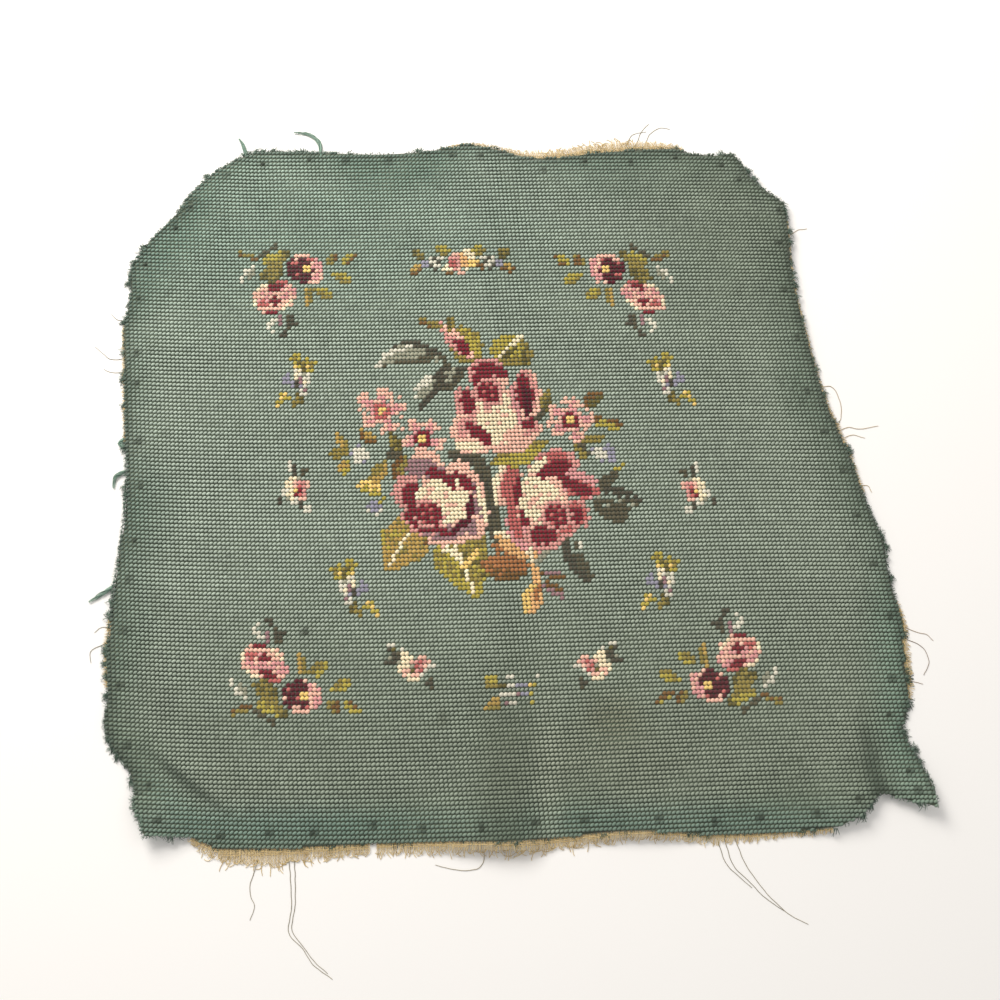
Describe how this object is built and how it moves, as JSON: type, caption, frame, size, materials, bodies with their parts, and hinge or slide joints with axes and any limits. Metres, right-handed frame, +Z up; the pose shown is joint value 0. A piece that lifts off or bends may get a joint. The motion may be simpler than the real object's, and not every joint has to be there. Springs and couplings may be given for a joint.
{
  "type": "needlepoint canvas panel",
  "caption": "Loose needlepoint seat panel of wool on canvas, floral on a sage ground, lying nearly flat with a soft centre crease and frayed edges.",
  "frame": {"origin": "on the surface that the panel lies on, under the middle of its outline", "axes": "+Z up out of the stitched face, +Y towards the back edge of the seat, +X to the right of the design"},
  "size_m": [0.5163, 0.5354, 0.0109],
  "materials": {
    "wool": "matte worsted wool stitches",
    "canvas": "matte bare cotton canvas"
  },
  "bodies": {
    "root": {"stitched_cloth": "wool", "front_left_bare_canvas": "canvas", "front_right_bare_canvas": "canvas", "back_bare_canvas": "canvas", "right_upper_bare_canvas": "canvas", "right_lower_bare_canvas": "canvas", "left_upper_bare_canvas": "canvas", "left_lower_bare_canvas": "canvas", "back_left_wool_ends": "wool", "left_wool_ends": "wool"}
  },
  "joints": []
}
